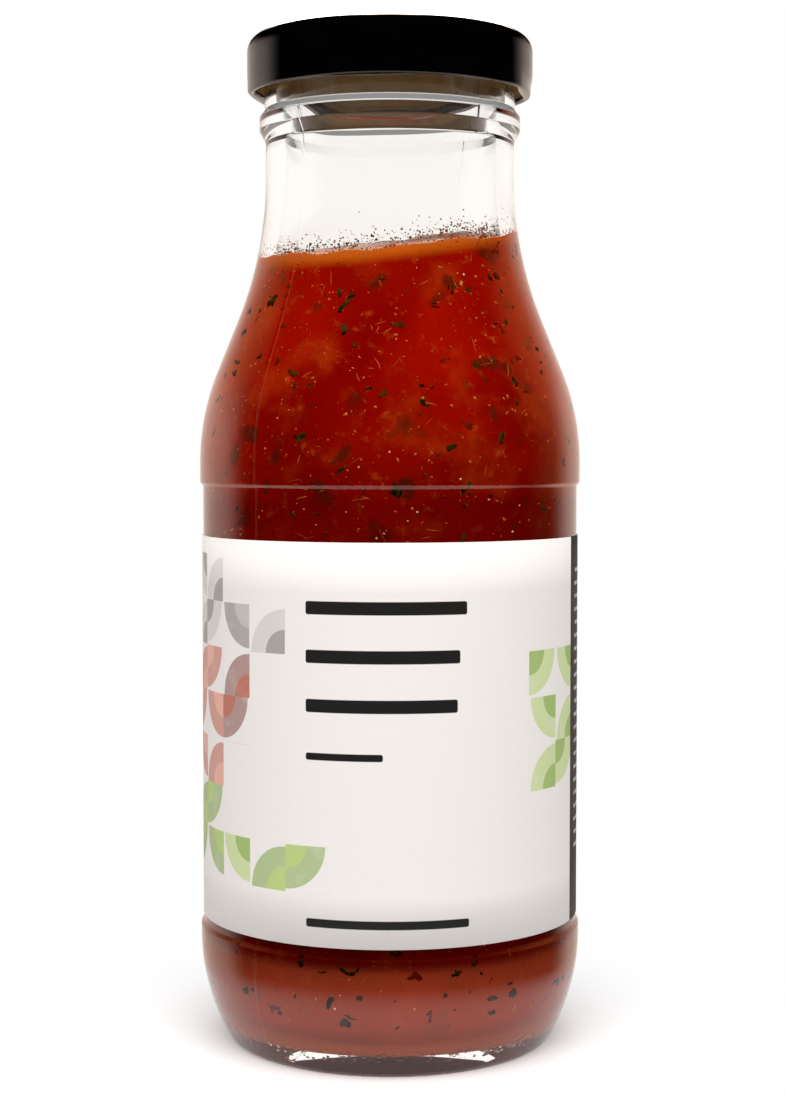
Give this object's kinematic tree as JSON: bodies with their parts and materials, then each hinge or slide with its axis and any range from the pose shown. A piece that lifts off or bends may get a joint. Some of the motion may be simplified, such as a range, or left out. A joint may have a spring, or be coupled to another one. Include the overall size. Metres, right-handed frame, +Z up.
{
  "type": "passata bottle",
  "caption": "Clear glass bottle of red tomato passata with a black twist-off lid and a white wrap-round paper label.",
  "frame": {"origin": "on the bottle's axis in the plane of its standing ring", "axes": "+Z up along the bottle's axis; the middle of the label's front faces -Y; +X is to the right seen from the front"},
  "size_m": [0.0614, 0.0614, 0.1616],
  "materials": {
    "clear_glass": "polished",
    "tomato_sauce": "gloss",
    "label_paper": "matte",
    "lid_steel": "gloss",
    "seal_compound": "matte"
  },
  "bodies": {
    "root": {"glass_bottle": "clear_glass", "sauce": "tomato_sauce", "label": "label_paper", "lid": "lid_steel", "lid_seal": "seal_compound"}
  },
  "joints": []
}
